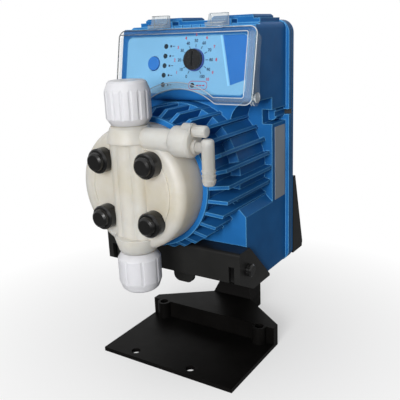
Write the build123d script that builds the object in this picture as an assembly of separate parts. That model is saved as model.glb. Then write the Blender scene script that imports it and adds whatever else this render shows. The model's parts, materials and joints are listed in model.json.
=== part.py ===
"""Diaphragm metering pump on its foot bracket, in millimetres.

X runs to the right, Y to the back and Z up. The origin is on the underside of the foot,
below the pump's middle plane. The liquid end faces -Y.
"""
from build123d import *
from math import atan, cos, degrees, radians, sin, sqrt, tan
import os

# ---------------------------------------------------------------- driving dimensions
gap = 0.3                      # free gap beside a moving piece
slip = 0.05                    # radial running clearance of a shaft in its hole

# foot and post
foot_thick = 3.0
foot_front = -45.0
foot_side_end = 23.5           # where the straight sides stop
riser_front = 17.0
riser_height = 13.0            # raised rear step above the plate
post_width = 27.0
post_front = 54.0
post_back = 75.0
post_wall = 3.0
post_flare = 3.5               # spread of the post at its foot
post_flare_up = 8.0
foot_hole_r = 3.25
foot_hole_pitch = 47.0
foot_hole_middle = -6.25
foot_hole_y = -38.0
foot_boss_r = 5.0
boss_inset = 11.0              # riser holes from the sides and the riser's front
boss_y = 15.5

# bracket that carries the housing
bracket_wall = 3.0
bracket_front = -31.0
beam_foot = 69.5
lip_rise = 1.8                 # underside of the seat's front lip below the housing
rib_drop = 7.0                 # lower edge of the inner rib below the beam
floor_top = 58.3
floor_thick = 3.7
floor_half = 23.5
cradle_screw_r = 2.0
cradle_screw_head = 1.6
cradle_screw_len = 14.0
cradle_screw_x = 6.0
cradle_screw_y = 64.0
clamp_r = 2.0
clamp_knob_r = 4.2
clamp_y = -20.0
clamp_z = 76.0
lug_width = 16.0
lug_drop = 4.9
wedge_top = 121.0              # where the rear wedge meets the rear cover
wedge_depth = 19.0

# housing
body_width = 102.0
flange_side = 2.5              # flange beyond the body at each side
flange_width = body_width + 2 * flange_side
foot_width = flange_width      # foot and cradle are as wide as the flange
flange_thick = 3.5
flange_lip = 1.2               # flange above the body's top
flange_low = 58.5
flange_corner = 8.5
pocket_z = 168.0               # side pocket with its open screw channel
body_back = 45.5
body_bottom = 61.6
body_top = 226.8
wall = 3.0
waist_wall = 21.0              # front face of the wall behind the fins
block_front = -17.0            # front face of the lower block
block_foot = 90.0              # lower edge of that face
block_top = 109.5              # height of the block at its outer corners
lean = 11.4                    # lean of the control panel, degrees
panel_height = 205.0           # height of the panel's middle
panel_y = -3.7                 # place of the panel's middle
throat_r = 14.0                # round between the neck and the housing above it
throat_land = 4.0
neck_half = body_width / 2 - throat_r - throat_land
neck_front = -2.0
ledge_drop = 1.3               # ledge that the cover's clips stand on, below the body's top
ledge_depth = 7.0
crown_rise = 2.6               # raised middle of the housing's top
crown_side = 4.5               # body beyond the raised top at each side
crown_half = body_width / 2 - crown_side
crown_front = 14.0
crown_inset = 3.5              # from the back of the body
pad_height = 2.4
pad_inner = 11.5
pad_outer = crown_half - 4.5

# finned sleeve round the solenoid
axis_z = 134.0
ring_front = -45.0
ring_r = 41.0
core_r = 39.5
step_y = -15.0
step_r = 45.5
fin_count = 32
fin_r_side = 51.0
fin_r_end = 45.0
fin_thick = 2.2
knee_run = 7.0                 # length of the sloped front end of a fin
sleeve_bore_r = 32.0
front_wall = 16.0

# rear cover
gasket_thick = 0.8
rear_thick = 4.0
rear_screw_r = 2.0
rear_screw_x = body_width / 2 - 5.0
rear_screw_z = (76.0, pocket_z, body_top - 7.8)
gland_r = 5.5
gland_x = -41.0
gland_y = 33.0
socket_r = 4.5
socket_x = -29.2

# control panel and clear cover
panel_margin = 4.5             # body beyond the panel at each side
panel_half = body_width / 2 - panel_margin
panel_up = 15.5
panel_down = 21.0
panel_thick = 1.5
arch_r = 45.3                  # arch in the lower edge of the panel and the cover
arch_up = 18.2
cover_wall = 1.7
cover_half = body_width / 2 + gap + cover_wall
cover_rise = 6.5               # front of the clear cover above the panel
cover_draft = 3.7              # the front face is narrower than the walls
cover_face_half = cover_half - cover_draft
cover_up = 19.8
cover_down = 27.0
pivot_down = 22.0
pivot_in = 3.0
pivot_r = 5.2
pin_r = 1.8
clip_x = 22.4
clip_width = 13.0
clip_height = 8.0
knob_x = 9.0
knob_up = 0.3
knob_r = 6.5
knob_height = 4.0
shaft_r = 1.6
button_x = -23.5
button_up = -1.8
button_r = 4.6
button_rise = 1.0
button_travel = 0.8
lamp_x = -14.2
lamp_top = 9.2
lamp_pitch = 6.2
lamp_r = 1.6
alarm_x = 8.0
alarm_up = -15.6
board_half = panel_half - 2.5
board_up = 15.0
board_down = 17.0
board_set = 8.5                # front of the circuit board behind the panel's face
board_thick = 1.6

# pump head
head_r = 37.8
head_depth = 21.5
head_round = 5.0
face_ring_r = 27.0            # raised ring on the head's face
bolt_half = 17.5               # half the spacing of the four bolts
bolt_r = 2.5
bolt_head_r = 4.25
bolt_head_len = 4.5
cap_r = 7.5
cap_nose_r = 5.9
cap_skirt = 7.4                # straight part of a cap in front of the head
cap_height = 10.4
valve_y = -62.0
valve_boss_r = 9.8
boss_top = 54.0                # end of a valve boss, from the head's axis
nut_r = 13.3
nut_height = 25.0
low_nut_height = 24.6
nut_start = 39.0               # lower edge of a nut, from the head's axis
nut_wall = 3.2
tube_r = 3.0
nipple_r = 2.0
ball_r = 3.2
ball_lift = 2.0
seat_r = 6.0                   # outside of a valve's inserts
seat_len = 4.0
valve_len = 20.0

# vent valve
vent_z = 31.0                  # above the head's axis
vent_r = 8.7
vent_body_x = 31.4
vent_body_len = 13.0
vent_arm_r = 6.6
vent_screw_r = 3.25
vent_screw_up = 6.3
vent_screw_len = 8.5
vent_stem_r = 2.0
stub_r = 2.9
stub_drop = 2.5
tail_x = 53.0
tail_r = 3.6
tail_bottom = 7.4              # lower end of the hose tail, above the head's axis
tail_top = 33.5

# diaphragm and solenoid
seat_plate_r = 21.8
seat_plate_thick = 6.0
bush_r = 7.0
channel_r = 2.5
diaphragm_r = 20.0
diaphragm_thick = 2.0
diaphragm_hub_r = 6.0
chamber_depth = 1.6
stroke = 1.25
rod_r = 4.0
armature_r = 9.0
armature_len = 22.0
pole_len = 16.0
spring_r = 6.6
yoke_r = 31.0
yoke_len = 40.0
yoke_wall = 4.0
bobbin_r = 10.5
coil_r = 24.0
bobbin_rim = 2.0


# ---------------------------------------------------------------- helpers
def block(x0, x1, y0, y1, z0, z1):
    return Pos((x0 + x1) / 2, (y0 + y1) / 2, (z0 + z1) / 2) * Box(abs(x1 - x0), y1 - y0, z1 - z0)


def rod_x(r, x0, x1, y=0.0, z=0.0):
    return Pos((x0 + x1) / 2, y, z) * Rot(0, 90, 0) * Cylinder(r, abs(x1 - x0))


def rod_y(r, y0, y1, x=0.0, z=0.0):
    return Pos(x, (y0 + y1) / 2, z) * Rot(90, 0, 0) * Cylinder(r, y1 - y0)


def rod_z(r, z0, z1, x=0.0, y=0.0):
    return Pos(x, y, (z0 + z1) / 2) * Cylinder(r, z1 - z0)


def polygon(points):
    return make_face(Polyline(*points, close=True))


def prism_x(points, x0, x1):
    """Polygon of (y, z) points, drawn out from x0 to x1."""
    return extrude(Plane.YZ.offset(x0) * polygon(points), amount=x1 - x0)


def prism_y(points, y0, y1):
    """Polygon of (x, z) points, drawn out from y0 to y1."""
    return extrude(Plane.XZ.offset(-y1) * polygon(points), amount=y1 - y0)


def prism_z(points, z0, z1):
    return extrude(Plane.XY.offset(z0) * polygon(points), amount=z1 - z0)


def both(shape):
    """The shape and its mirror image across the middle plane."""
    return [shape, mirror(shape, about=Plane.YZ)]


def sides(points):
    """Right half outline points followed by their mirror images."""
    return points + [(-x, y) for x, y in reversed(points)]


def turned(profile, axis_y):
    """Revolve (radius, z) points about the vertical axis through axis_y."""
    face = Plane.XZ * polygon(profile)
    return Pos(0, axis_y, 0) * revolve(face, axis=Axis.Z)


def turned_y(profile, x=0.0, z=0.0):
    """Revolve (radius, y) points about the Y axis through x, z."""
    face = Plane.XY * polygon(profile)
    return Pos(x, 0, z) * revolve(face, axis=Axis.Y)


def front_y(z):
    """Depth of the leaning control face at height z."""
    return panel_y + (z - panel_height) * tan(radians(lean))


def panel_point(up, out):
    """Depth and height of a point up the panel and out in front of it."""
    a = radians(lean)
    return panel_y + up * sin(a) - out * cos(a), panel_height + up * cos(a) + out * sin(a)


ledge_height = body_top - ledge_drop
flange_high = body_top + flange_lip
# the cover swings round the lower edge of the control box
box_under = panel_point(-pivot_down, -pivot_in)[1] - pivot_in
panel = Plane(origin=(0, panel_y, panel_height), x_dir=(1, 0, 0),
              z_dir=(0, -cos(radians(lean)), sin(radians(lean))))


def panel_rod(r, x, up, low, high):
    """Round solid square to the control panel, from low to high in front of it."""
    return panel * Pos(x, up, (low + high) / 2) * Cylinder(r, high - low)


def panel_prism(face, low, high):
    return extrude(panel.offset(low) * face, amount=high - low)


def panel_outline(half, top, bottom, inset, corner):
    """Shield-like outline of the control face, arched over the sleeve."""
    face = Pos(0, (top - bottom) / 2) * Rectangle(2 * half, top + bottom)
    face = face - Pos(0, -arch_up - arch_r) * Circle(arch_r + inset)
    return fillet(face.vertices(), corner)


# ---------------------------------------------------------------- foot and bracket
def make_foot():
    half = foot_width / 2
    post_half = post_width / 2
    neck_x = post_half + post_flare
    neck_y = post_front - post_flare
    tail = [(neck_x, neck_y), (post_half, post_front), (post_half, post_back)]
    step = foot_thick + riser_height
    plate = prism_z(sides([(half, foot_front), (half, foot_side_end)] + tail), 0, foot_thick)
    riser = prism_z(sides([(half, riser_front), (half, foot_side_end)] + tail), 0, step)
    w = bracket_wall
    inner = sides([(half - w, riser_front + w), (half - w, foot_side_end - w / 2), (neck_x - w / 2, neck_y - w)])
    post_top = floor_top - floor_thick
    post = block(-post_half, post_half, post_front, post_back, step - 1, post_top)
    skirt_back = post_front + 2 * post_flare
    skirt = loft([
        Plane.XY.offset(step - 0.5) * Pos(0, (neck_y + skirt_back) / 2) * Rectangle(2 * neck_x, skirt_back - neck_y),
        Plane.XY.offset(step + post_flare_up) * Pos(0, (post_front + skirt_back) / 2) * Rectangle(
            post_width, skirt_back - post_front)])
    post_core = block(-post_half + post_wall, post_half - post_wall, post_front + post_wall,
                      post_back - post_wall, -1, post_top - 2 * post_wall)
    foot = plate + riser - prism_z(inner, -1, step - w) + post + skirt - post_core
    for x in (-1, 1):
        boss_x = x * (half - boss_inset)
        foot = foot + rod_z(foot_boss_r, foot_thick - 0.5, step, boss_x, boss_y)
        foot = foot - rod_z(foot_hole_r, -1, step + 1, boss_x, boss_y)
        hole_x = foot_hole_middle + x * foot_hole_pitch / 2
        foot = foot - rod_z(foot_hole_r, -1, foot_thick + 1, hole_x, foot_hole_y)
        foot = foot - rod_z(cradle_screw_r, floor_top - cradle_screw_len, floor_top + 1,
                            x * cradle_screw_x, cradle_screw_y)
    return foot


def make_cradle():
    half = foot_width / 2
    seat_y = block_front - gap
    low_y = block_front + block_foot - body_bottom
    seat_z = body_bottom - gap
    lip_z = body_bottom - lip_rise
    lip_y = bracket_front + (beam_foot - lip_z) * 1.85
    outer = [(bracket_front, beam_foot), (bracket_front, block_foot), (seat_y, block_foot),
             (low_y - gap, seat_z), (low_y - gap, lip_z), (lip_y, lip_z)]
    cradle = prism_x(outer, -half, half)
    w = bracket_wall
    hollow = [(bracket_front + w, lip_z - w), (bracket_front + w, block_foot - w),
              (seat_y - w, block_foot - w), (low_y - gap - 2 * w, seat_z - w), (low_y - gap - 2 * w, lip_z - w)]
    cradle = cradle - prism_x(hollow, -half + w, half - w)
    cradle = fillet(cradle.edges().filter_by(Axis.X).group_by(Axis.Z)[-1], 2.0)
    shelf = block(-floor_half, floor_half, low_y - gap - 2 * w, post_back, floor_top - floor_thick, floor_top)
    pads = block(-floor_half, floor_half, low_y - gap - 2 * w, body_back - flange_thick - 2, floor_top, seat_z)
    pads = pads - block(-floor_half + w, floor_half - w, low_y + w, body_back, floor_top, seat_z + 1)
    rib_low = beam_foot - rib_drop
    lug = block(-lug_width / 2, lug_width / 2, block_front + 1, block_front + 4, lip_z - lug_drop, rib_low + 1)
    lug = fillet(lug.edges().filter_by(Axis.Y).group_by(Axis.Z)[0], 5.0)
    rib = block(-half + w / 2, half - w / 2, block_front + 1, block_front + 4, rib_low, block_foot - 2 * w)
    cradle = cradle + shelf + pads + lug + rib
    cradle = cradle - rod_y(fin_r_end + 2 * gap, bracket_front - 1, 0, 0, axis_z)
    for x in (-1, 1):
        slot_x = x * (half - 6)
        cradle = cradle - block(slot_x - 2, slot_x + 2, bracket_front - 1, bracket_front + w + 1,
                                beam_foot - 1, beam_foot + 11)
        cradle = cradle - rod_x(clamp_r + slip, x * (half - 9), x * (half + 1), clamp_y, clamp_z)
        cradle = cradle - rod_z(cradle_screw_r + slip, floor_top - floor_thick - 1, floor_top + 1,
                                x * cradle_screw_x, cradle_screw_y)
    return cradle


def make_wall_bracket():
    half = foot_width / 2
    w = bracket_wall
    face = body_back + gasket_thick + rear_thick
    foot_z = body_bottom + 1
    tip = face + wedge_depth - 2
    outer = [(face, foot_z), (tip - 1, foot_z), (tip, foot_z + 4), (face + w, wedge_top), (face, wedge_top)]
    inner = [(face - 1, foot_z + w), (tip - w - 1, foot_z + w), (tip - w, foot_z + 5), (face, wedge_top - 2 * w),
             (face - 1, wedge_top - 2 * w)]
    wedge = prism_x(outer, -half, half) - prism_x(inner, -half + w, half - w)
    web = prism_x(outer, -w / 2, w / 2)
    base = block(-floor_half, floor_half, face + gap, tip, floor_top, foot_z + 1)
    for x in (-cradle_screw_x, cradle_screw_x):
        base = base - rod_z(cradle_screw_r + 2 + gap, floor_top - 1, floor_top + cradle_screw_head + gap, x, cradle_screw_y)
    return wedge + web + base


def make_cradle_screws():
    screws = []
    for x in (-cradle_screw_x, cradle_screw_x):
        shank = rod_z(cradle_screw_r, floor_top - cradle_screw_len, floor_top, x, cradle_screw_y)
        head = rod_z(cradle_screw_r + 2, floor_top, floor_top + cradle_screw_head, x, cradle_screw_y)
        screws.append(shank + head)
    return screws


def make_clamp_screw(side):
    half = foot_width / 2
    knob = rod_x(clamp_knob_r, half + gap, half + gap + 3.5, clamp_y, clamp_z)
    knob = chamfer(knob.edges().filter_by(GeomType.CIRCLE).group_by(Axis.X)[-1], 1.0)
    for i in range(8):
        cut = rod_x(0.7, half, half + 9, clamp_knob_r + 0.3, 0)
        knob = knob - Pos(0, clamp_y, clamp_z) * Rot(45 * i, 0, 0) * cut
    shank = rod_x(clamp_r, half - 8, half + gap, clamp_y, clamp_z)
    screw = knob + shank
    return screw if side > 0 else mirror(screw, about=Plane.YZ)


# ---------------------------------------------------------------- housing
def fin_reach(angle):
    """Radius of the fins' oval outline at an angle from the horizontal."""
    a = radians(angle)
    return fin_r_side * fin_r_end / sqrt((fin_r_end * cos(a)) ** 2 + (fin_r_side * sin(a)) ** 2)


def make_fin(angle):
    reach = fin_reach(angle)
    tip = ring_front + 1 + knee_run
    round_r = 5.0
    profile = polygon([(core_r - 3, ring_front + 1), (ring_r - 0.5, ring_front + 1), (reach, tip),
                       (reach, waist_wall + 2), (core_r - 3, waist_wall + 2)])
    corner = profile.vertices().sort_by(Axis.Y)[-2:].sort_by(Axis.X)[-1:]
    profile = fillet(corner, round_r)
    fin = extrude(Plane.XY.offset(-fin_thick / 2) * profile, amount=fin_thick)
    return Pos(0, 0, axis_z) * Rot(0, -angle, 0) * fin


def make_housing():
    half = body_width / 2
    inner_half = half - wall
    # rear body, control box and lower block
    body = block(-half, half, waist_wall, body_back, body_bottom, body_top)
    ledge_y = front_y(ledge_height)
    ledge_back = ledge_y + ledge_depth
    box_line = [(front_y(box_under), box_under), (ledge_y, ledge_height), (ledge_back, ledge_height),
                (ledge_back, body_top), (waist_wall + 1, body_top), (waist_wall + 1, box_under)]
    box = prism_x(box_line, -half, half)
    lower_edge = box.edges().filter_by(Axis.X).group_by(Axis.Z)[0].sort_by(Axis.Y)[:1]
    body = body + fillet(lower_edge, pivot_in)
    body = fillet(body.edges().filter_by(Axis.Y).group_by(Axis.Z)[-1], 4.0)
    neck = block(-neck_half, neck_half, neck_front, waist_wall + 1, axis_z, box_under + 1)
    body = body + neck
    throat = [e for e in body.edges().filter_by(Axis.Y)
              if abs(abs(e.center().X) - neck_half) < 0.1 and abs(e.center().Z - box_under) < 0.1]
    body = fillet(throat, throat_r)
    slope = block_foot - body_bottom
    block_line = [(block_front, block_foot), (block_front, axis_z), (waist_wall + 1, axis_z),
                  (waist_wall + 1, body_bottom), (block_front + slope, body_bottom)]
    lower = prism_x(block_line, -half, half)
    shoulder = sides([(half, body_bottom - 1), (half, block_top), (half - 21, block_top + 21)])
    body = body + (lower & prism_y(shoulder, block_front - 1, waist_wall + 2))
    # stepped top with its pads, clip frames and ribs
    crown_back = body_back - crown_inset
    crown_top = body_top + crown_rise
    body = body + block(-crown_half, crown_half, crown_front, crown_back, body_top - 1, crown_top)
    for sign in (-1, 1):
        pad = block(sign * pad_inner, sign * pad_outer, crown_front, crown_back, crown_top - 1, crown_top + pad_height)
        pad = chamfer(pad.faces().sort_by(Axis.Z)[-1].edges(), 1.2)
        body = body + pad
        frame_x = sign * clip_x
        frame_half = clip_width / 2 + 1.5
        body = body + block(frame_x - frame_half, frame_x + frame_half, ledge_back - 1, crown_front + 1,
                            ledge_height, crown_top)
    for i in range(-2, 3):
        body = body + block(7 * i - 0.5, 7 * i + 0.5, ledge_back - 1.2, ledge_back + 1, ledge_height - 1, body_top)
    # flange at the back
    flange = Plane.XZ.offset(-body_back) * Pos(0, (flange_low + flange_high) / 2) * RectangleRounded(
        flange_width, flange_high - flange_low, flange_corner)
    body = body + extrude(flange, amount=flange_thick)
    # finned sleeve
    sleeve = rod_y(core_r, ring_front, waist_wall + 2, 0, axis_z)
    sleeve = sleeve + rod_y(ring_r, ring_front, ring_front + 2.5, 0, axis_z)
    step_line = [(core_r - 1, step_y), (step_r, step_y + 2), (step_r, waist_wall + 2), (core_r - 1, waist_wall + 2)]
    sleeve = sleeve + turned_y(step_line, 0, axis_z)
    fins = [make_fin(360 / fin_count * i) for i in range(fin_count)]
    body = body + sleeve + fins
    # hollow
    panel_wall = panel_thick + wall
    depth = panel_wall / cos(radians(lean))
    roof = ledge_height - wall
    floor = box_under + wall
    box_room = prism_x([(front_y(floor) + depth, floor), (front_y(roof) + depth, roof),
                        (waist_wall + wall + 1, roof), (waist_wall + wall + 1, floor)], -inner_half, inner_half)
    rear_room = block(-inner_half, inner_half, waist_wall + wall, body_back + 1, body_bottom + wall, body_top - wall)
    for x in (-1, 1):
        for z in rear_screw_z:
            rear_room = rear_room - block(x * (rear_screw_x - 5), x * half, waist_wall, body_back + 1, z - 7, z + 7)
    bore = rod_y(sleeve_bore_r, ring_front + front_wall, waist_wall + wall + 1, 0, axis_z)
    body = body - box_room - rear_room - bore
    # panel recess, openings of the panel and stand-offs of the board
    body = body - panel_prism(panel_outline(panel_half + 0.1, panel_up + 0.1, panel_down + 0.1, 0, 4), -panel_thick, 1)
    body = body - panel_rod(shaft_r + 1, knob_x, knob_up, -9, 1)
    body = body - panel_rod(button_r + gap, button_x, button_up, -9, 1)
    for x, up in lamp_places():
        body = body - panel_rod(lamp_r + 0.1, x, up, -9, 1)
    for x in (-board_half + 4, board_half - 4):
        for up in (-board_down + 4, board_up - 4):
            body = body + panel_rod(2.5, x, up, -board_set, -panel_wall + 0.5)
    # liquid-end seat
    body = body - rod_y(seat_plate_r + 0.1, ring_front - 1, ring_front + seat_plate_thick, 0, axis_z)
    body = body - rod_y(bush_r + 0.1, ring_front, ring_front + front_wall + 1, 0, axis_z)
    for x, z in bolt_places():
        body = body - rod_y(bolt_r, ring_front - 1, ring_front + 13, x, z)
    for x in (-1, 1):
        # side pockets, their open screw channels and the rear screws
        body = body - block(x * (rear_screw_x - 2), x * (half + 1), waist_wall - 1, body_back - flange_thick,
                            pocket_z - 5.5, pocket_z + 4)
        boss = rod_y(4.3, waist_wall + 9, body_back - flange_thick, x * rear_screw_x, pocket_z)
        body = body + boss
        body = body - block(x * (half - 2.5), x * (half + 4), waist_wall + 8, body_back + 1,
                            pocket_z - 1.7, pocket_z + 1.7)
        for z in rear_screw_z:
            body = body - rod_y(rear_screw_r, body_back - 12, body_back + 1, x * rear_screw_x, z)
        eye_y, eye_z = panel_point(-pivot_down, -pivot_in)
        body = body - rod_x(pin_r, x * (half - 5), x * (half + 1), eye_y, eye_z)
    # cable gland and signal socket in the floor
    body = body - rod_z(gland_r, body_bottom - 1, body_bottom + wall + 1, gland_x, gland_y)
    body = body - rod_z(socket_r, body_bottom - 1, body_bottom + wall + 1, socket_x, gland_y)
    return body


def lamp_places():
    places = [(lamp_x - 0.25 * i, lamp_top - lamp_pitch * i) for i in range(5)]
    places.append((alarm_x, alarm_up))
    return places


def bolt_places():
    return [(x * bolt_half, axis_z + z * bolt_half) for x in (-1, 1) for z in (-1, 1)]


# ---------------------------------------------------------------- rear of the housing
def make_rear_plate(front, thick):
    plane = Plane.XZ.offset(-front - thick)
    face = plane * Pos(0, (flange_low + flange_high) / 2) * RectangleRounded(
        flange_width, flange_high - flange_low, flange_corner)
    plate = extrude(face, amount=thick)
    for x in (-rear_screw_x, rear_screw_x):
        for z in rear_screw_z:
            plate = plate - rod_y(rear_screw_r, front - 1, front + thick + 1, x, z)
    return plate


def make_gasket():
    gasket = make_rear_plate(body_back, gasket_thick)
    half = rear_screw_x - 6
    window = block(-half, half, body_back - 1, body_back + gasket_thick + 1, body_bottom + 6, body_top - 10)
    return gasket - window


def make_rear_cover():
    front = body_back + gasket_thick
    cover = make_rear_plate(front, rear_thick)
    outer_edge = cover.faces().sort_by(Axis.Y)[-1].outer_wire().edges()
    cover = chamfer(outer_edge, 1.2)
    for i in range(5):
        x = 14.0 * (i - 2)
        cover = cover + block(x - 1, x + 1, front + rear_thick - 0.5, front + rear_thick + 1.5, wedge_top + 12, 208)
    return cover


def make_rear_screws():
    back = body_back + gasket_thick + rear_thick
    screws = []
    for x in (-rear_screw_x, rear_screw_x):
        for z in rear_screw_z:
            if z > wedge_top:
                head = rod_y(2 * rear_screw_r, back, back + 2.4, x, z)
                screws.append(head + rod_y(rear_screw_r, body_back - 10, back, x, z))
            else:
                screws.append(rod_y(rear_screw_r, body_back - 10, back, x, z))
    return screws


def make_gland():
    top = body_bottom + wall
    neck = rod_z(gland_r, body_bottom - 1, top, gland_x, gland_y)
    collar = extrude(Plane.XY.offset(body_bottom - 5) * Pos(gland_x, gland_y) * RegularPolygon(gland_r + 1, 6),
                     amount=5)
    dome_line = [(3.4, body_bottom - 15), (gland_r - 1.5, body_bottom - 15), (gland_r, body_bottom - 12.5),
                 (gland_r, body_bottom - 5), (3.4, body_bottom - 5)]
    dome = Pos(gland_x, 0, 0) * turned(dome_line, gland_y)
    locknut = extrude(Plane.XY.offset(top) * Pos(gland_x, gland_y) * RegularPolygon(gland_r + 1, 6), amount=3)
    gland = neck + collar + dome + locknut
    return gland - rod_z(3.4, body_bottom - 16, top + 4, gland_x, gland_y)


def make_socket():
    top = body_bottom + wall
    shell = rod_z(socket_r, body_bottom - 1, top, socket_x, gland_y)
    shell = shell + rod_z(socket_r - 0.4, body_bottom - 8, body_bottom, socket_x, gland_y)
    shell = shell + rod_z(socket_r + 0.6, body_bottom - 2, body_bottom, socket_x, gland_y)
    shell = shell + rod_z(socket_r - 1, top, top + 4, socket_x, gland_y)
    shell = shell - rod_z(socket_r - 1.5, body_bottom - 9, body_bottom - 2, socket_x, gland_y)
    for i in range(4):
        pin = Pos(socket_x, gland_y, 0) * Rot(0, 0, 90 * i + 45) * rod_z(0.5, body_bottom - 6, body_bottom - 1, 1.7, 0)
        shell = shell + pin
    return shell


# ---------------------------------------------------------------- control panel
def make_panel():
    plate = panel_prism(panel_outline(panel_half, panel_up, panel_down, 0, 4), -panel_thick, 0)
    plate = plate - panel_rod(shaft_r + 1, knob_x, knob_up, -9, 1)
    plate = plate - panel_rod(button_r + gap, button_x, button_up, -9, 1)
    for x, up in lamp_places():
        plate = plate - panel_rod(lamp_r, x, up, -9, 1)
    return plate


def make_lamps():
    lamps = []
    for x, up in lamp_places():
        lamp = panel_rod(lamp_r, x, up, -board_set, gap / 2)
        lamps.append(lamp + panel_rod(lamp_r + 0.4, x, up, -board_set, -board_set + 1.2))
    return lamps


def make_board():
    face = Pos(0, (board_up - board_down) / 2) * Rectangle(2 * board_half, board_up + board_down)
    board = panel_prism(face, -board_set - board_thick, -board_set)
    chip = Pos(-2, 4) * Rectangle(14, 14)
    board = board + panel_prism(chip, -board_set - board_thick - 2, -board_set - board_thick)
    for x in (24, 34):
        board = board + panel_rod(4, x, 0, -board_set - board_thick - 12, -board_set - board_thick)
    relay = Pos(-28, -2) * Rectangle(15, 20)
    board = board + panel_prism(relay, -board_set - board_thick - 11, -board_set - board_thick)
    return board


def make_potentiometer():
    case = panel_rod(5.2, knob_x, knob_up, -board_set, -panel_thick - wall)
    return case - panel_rod(shaft_r + slip, knob_x, knob_up, -board_set + 1, 0)


def make_knob():
    skirt = panel_rod(knob_r + 0.6, knob_x, knob_up, gap, gap + 1.2)
    top = panel_rod(knob_r, knob_x, knob_up, gap + 1.2, knob_height)
    slot = Pos(knob_x, knob_up) * Rectangle(1.4, 2 * knob_r - 3)
    top = top - panel_prism(slot, knob_height - 1, knob_height + 1)
    return skirt + top + panel_rod(shaft_r, knob_x, knob_up, -board_set + 1.3, gap)


def make_button():
    cap = panel_rod(button_r, button_x, button_up, -panel_thick - wall + gap, button_rise)
    cap = fillet(cap.edges().filter_by(GeomType.CIRCLE).sort_by(Axis.Y)[:1], 0.6)
    rim = panel_rod(button_r + 1, button_x, button_up, -panel_thick - wall - gap - 0.8, -panel_thick - wall - gap)
    stem = panel_rod(1.6, button_x, button_up, -panel_thick - wall - gap - button_travel, -panel_thick - wall + gap)
    return cap + rim + stem


def make_cover():
    """Clear hood in front of the panel, with its side cheeks, top clips and pivot eyes."""
    bend = 2.0
    slant = degrees(atan((cover_half - cover_face_half) / (cover_rise - bend)))
    outer = panel_outline(cover_half, cover_up, cover_down, 0, 5)
    inner = panel_outline(cover_half - cover_wall, cover_up - cover_wall, cover_down - cover_wall, cover_wall, 3.5)
    shell = panel_prism(outer, gap, bend) + extrude(panel.offset(bend) * outer, amount=cover_rise - bend, taper=slant)
    room = panel_prism(inner, gap - 1, bend)
    room = room + extrude(panel.offset(bend) * inner, amount=cover_rise - cover_wall - bend, taper=slant)
    cover = shell - room
    eye_y, eye_z = panel_point(-pivot_down, -pivot_in)
    edge = cover_half - cover_wall
    cheek_line = [panel_point(-pivot_down, bend), panel_point(cover_up - 3, bend), panel_point(cover_up - 6, -4),
                  panel_point(-10, -5), panel_point(-pivot_down + 2, -pivot_in - pivot_r + 0.4)]
    cheek = prism_x(cheek_line, edge, cover_half) + rod_x(pivot_r, edge, cover_half, eye_y, eye_z)
    cheek = cheek - rod_x(pin_r + slip, edge - 1, cover_half + 1, eye_y, eye_z)
    cover = cover + both(cheek)
    clip_low = ledge_height + gap
    clip_top = ledge_height + clip_height
    clip_back = front_y(ledge_height) + ledge_depth - 1 - gap
    clip_line = [panel_point(cover_up - cover_wall, bend), panel_point(cover_up - cover_wall, gap),
                 (front_y(clip_low) - gap, clip_low), (clip_back, clip_low), (clip_back, clip_top),
                 (clip_back - 2, clip_top), (clip_back - 4, clip_low + 2), (front_y(clip_low) - 2, clip_low + 1.8)]
    clip = prism_x(clip_line, clip_x - clip_width / 2, clip_x + clip_width / 2)
    return cover + both(clip)


def make_pins():
    eye_y, eye_z = panel_point(-pivot_down, -pivot_in)
    pin = rod_x(pin_r, body_width / 2 - 5, cover_half + gap, eye_y, eye_z)
    head = rod_x(pin_r + 1.4, cover_half + gap, cover_half + gap + 0.8, eye_y, eye_z)
    return both(pin + head)


# ---------------------------------------------------------------- liquid end
def make_head():
    back = ring_front
    front = back - head_depth
    line = [(0, back), (head_r, back), (head_r, front), (0, front)]
    head = turned_y(line, 0, axis_z)
    head = fillet(head.edges().filter_by(GeomType.CIRCLE).sort_by(Axis.Y)[:1], head_round)
    head = head + (rod_y(face_ring_r + 2.5, front - 0.9, front, 0, axis_z) - rod_y(face_ring_r, front - 1, front + 1, 0, axis_z))
    # valve bosses above and below, joined by the ridge of the valve channel
    boss = rod_z(valve_boss_r, axis_z - boss_top, axis_z + boss_top, 0, valve_y)
    ridge = loft([Plane.XY.offset(axis_z - 30) * Pos(0, front + 4) * RectangleRounded(25, 16, 6),
                  Plane.XY.offset(axis_z + 30) * Pos(0, front + 4) * RectangleRounded(25, 16, 6)])
    head = head + boss + (ridge & rod_y(head_r - head_round, front - 6, back - 1, 0, axis_z))
    for sign in (-1, 1):
        flare_line = [(valve_boss_r - 1, 29), (valve_boss_r + 4.5, 29), (valve_boss_r + 2.2, nut_start - 2),
                      (valve_boss_r + 1.2, nut_start - 0.5), (valve_boss_r - 1, nut_start - 0.5)]
        flare = turned([(r, axis_z + sign * z) for r, z in flare_line], valve_y)
        head = head + flare
    # vent passage arm
    arm_z = axis_z + vent_z
    arm = rod_x(vent_arm_r, 4, vent_body_x, valve_y, arm_z)
    head = head + arm
    # chamber behind the diaphragm and the channels
    head = head - rod_y(diaphragm_r + gap, back - chamber_depth, back + 1, 0, axis_z)
    head = head - rod_y(channel_r, valve_y, back, 0, axis_z)
    head = head - rod_z(channel_r, axis_z - boss_top, axis_z + boss_top, 0, valve_y)
    head = head - rod_x(1.5, 0, vent_body_x + 1, valve_y, arm_z)
    head = head - rod_z(seat_r + slip, axis_z - boss_top - 1, axis_z - boss_top + valve_len, 0, valve_y)
    head = head - rod_z(seat_r + slip, axis_z + boss_top - valve_len, axis_z + boss_top + 1, 0, valve_y)
    for x, z in bolt_places():
        head = head - rod_y(cap_r + gap, front - 9, front, x, z)
        head = head - rod_y(bolt_r, front - 3, back + 1, x, z)
    return head


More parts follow.
